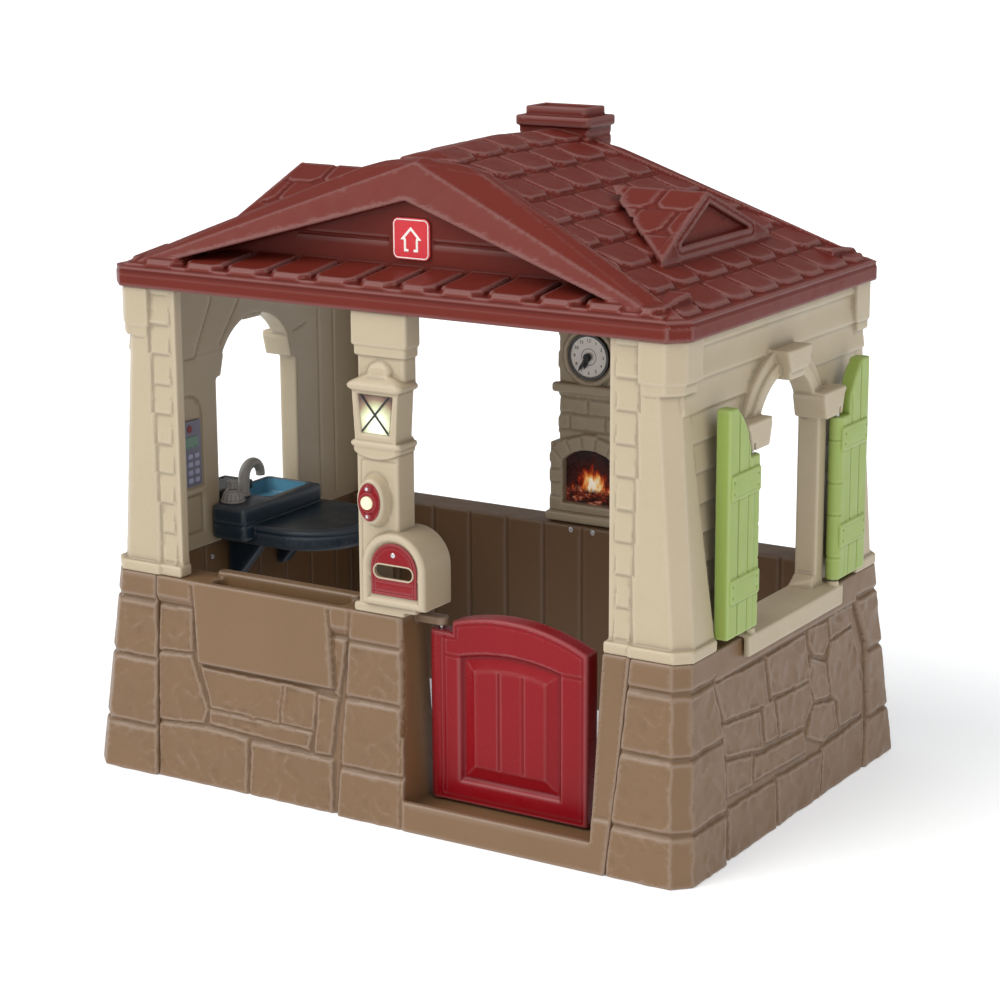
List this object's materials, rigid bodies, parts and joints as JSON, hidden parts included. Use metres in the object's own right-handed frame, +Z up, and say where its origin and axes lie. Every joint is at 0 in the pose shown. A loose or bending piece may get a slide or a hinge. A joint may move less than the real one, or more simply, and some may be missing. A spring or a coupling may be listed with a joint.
{
  "type": "toddler playhouse",
  "caption": "Moulded plastic playhouse with a half door, window shutters, tiled roof, kitchen, fireplace, mailbox, doorbell and clock.",
  "frame": {"origin": "middle of the base footprint on the ground", "axes": "+X along the front to the right as seen from outside the door, -Y out of the front, +Z up"},
  "size_m": [1.29, 0.89, 1.225],
  "materials": {
    "brown_plastic": "moulded, faint grain",
    "cream_plastic": "moulded, satin",
    "maroon_plastic": "moulded, satin",
    "red_plastic": "moulded, semi-gloss",
    "green_plastic": "moulded, semi-gloss",
    "navy_plastic": "moulded, satin",
    "grey_plastic": "moulded, satin",
    "black_plastic": "semi-gloss",
    "screw_steel": "zinc plated",
    "spring_steel": "drawn wire",
    "button_plastic": "glossy",
    "module_plastic": "moulded",
    "lantern_print": "printed label",
    "fire_print": "printed label",
    "dial_print": "printed label on a moulded dial",
    "phone_print": "printed label",
    "badge_plastic": "glossy label"
  },
  "bodies": {
    "house": {"lower_wall_left": "brown_plastic", "lower_wall_right": "brown_plastic", "front_wall": "brown_plastic", "back_wall": "brown_plastic", "upper_wall_left": "cream_plastic", "upper_wall_right": "cream_plastic", "roof": "maroon_plastic", "gable_badge": "badge_plastic", "lantern_post": "cream_plastic", "lantern_panel": "lantern_print", "lantern_bars": "black_plastic", "doorbell_bezel": "red_plastic", "doorbell_spring": "spring_steel", "doorbell_module": "module_plastic", "battery_door": "cream_plastic", "doorbell_screws": "screw_steel", "mail_plate": "red_plastic", "mail_plate_screw": "screw_steel", "fireplace_panel": "cream_plastic", "fire_panel": "fire_print", "hearth_screws": "screw_steel", "clock_dial": "dial_print", "clock_pin": "black_plastic", "kitchen_unit": "navy_plastic", "griddle": "black_plastic", "faucet_base": "grey_plastic", "phone_panel": "phone_print", "wall_screws": "screw_steel"},
    "door_leaf": {"door": "red_plastic", "door_pin_top": "screw_steel", "door_pin_bottom": "screw_steel"},
    "front_shutter": {"shutter_front": "green_plastic", "shutter_front_pins": "screw_steel"},
    "rear_shutter": {"shutter_rear": "green_plastic", "shutter_rear_pins": "screw_steel"},
    "bell_button": {"doorbell_button": "button_plastic"},
    "hour_hand": {"clock_hour_hand": "black_plastic"},
    "minute_hand": {"clock_minute_hand": "black_plastic"},
    "tap_knob": {"faucet_knob": "grey_plastic"},
    "tap_spout": {"faucet_spout": "grey_plastic"}
  },
  "joints": [
    {"name": "door_swing", "type": "hinge", "parent": "house", "child": "door_leaf", "pos_m": [0.096, -0.342, 0.2], "axis": [0, 0, 1], "range_deg": [0, 95]},
    {"name": "front_shutter_swing", "type": "hinge", "parent": "house", "child": "front_shutter", "pos_m": [0.617, -0.172, 0.55], "axis": [0, 0, 1], "range_deg": [0, 138]},
    {"name": "rear_shutter_swing", "type": "hinge", "parent": "house", "child": "rear_shutter", "pos_m": [0.617, 0.172, 0.55], "axis": [0, 0, -1], "range_deg": [0, 138]},
    {"name": "bell_press", "type": "slide", "parent": "house", "child": "bell_button", "axis": [0, 1, 0], "range_m": [0, 0.003], "stiffness_N_per_m": 400, "springref_m": -0.002, "deforming": ["doorbell_spring"]},
    {"name": "hour_hand_turn", "type": "hinge", "parent": "house", "child": "hour_hand", "pos_m": [0, 0.341, 0.722], "axis": [0, 1, 0], "continuous": true},
    {"name": "minute_hand_turn", "type": "hinge", "parent": "house", "child": "minute_hand", "pos_m": [0, 0.338, 0.722], "axis": [0, 1, 0], "continuous": true},
    {"name": "tap_knob_turn", "type": "hinge", "parent": "house", "child": "tap_knob", "pos_m": [-0.535, -0.12, 0.49], "axis": [0, 0, 1], "range_deg": [-90, 90]},
    {"name": "tap_spout_swivel", "type": "hinge", "parent": "house", "child": "tap_spout", "pos_m": [-0.545, -0.074, 0.48], "axis": [0, 0, 1], "range_deg": [-60, 60]}
  ]
}
